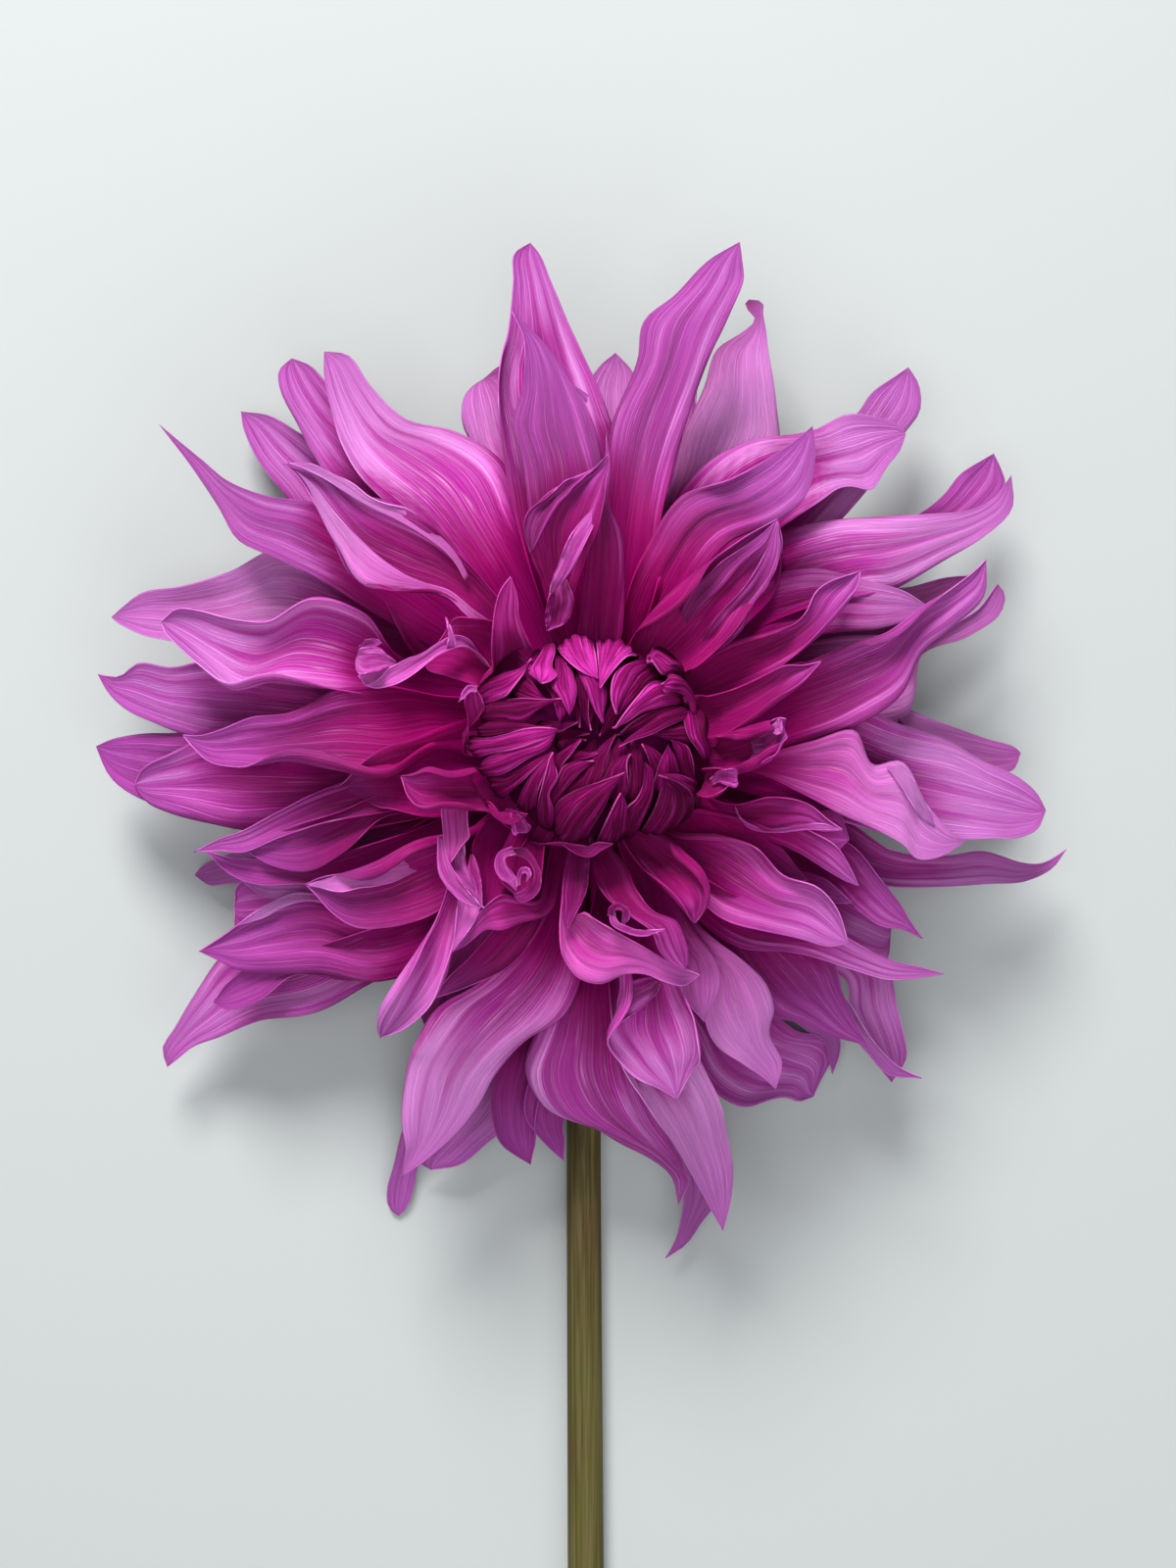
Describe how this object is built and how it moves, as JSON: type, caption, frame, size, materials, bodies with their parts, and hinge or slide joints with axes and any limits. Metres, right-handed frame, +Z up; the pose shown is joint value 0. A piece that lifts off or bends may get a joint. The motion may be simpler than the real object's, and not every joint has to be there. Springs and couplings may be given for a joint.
{
  "type": "cut dahlia flower",
  "caption": "A cut dinner-plate dahlia, magenta petals in layers round a dark wine centre, lying face up on its back with its green stalk along the surface.",
  "frame": {"origin": "on the surface that the flower lies on, under the middle of the whole flower's box", "axes": "+Z up, the way the bloom faces; +Y from the stalk's cut end towards the bloom; +X to the right when the bloom is looked at with its stalk towards the viewer"},
  "size_m": [0.2588, 0.4014, 0.1035],
  "materials": {
    "petal_magenta": "satin",
    "heart_wine": "satin",
    "stem_green": "satin"
  },
  "bodies": {
    "root": {"petals": "petal_magenta", "heart": "heart_wine", "stem": "stem_green"}
  },
  "joints": []
}
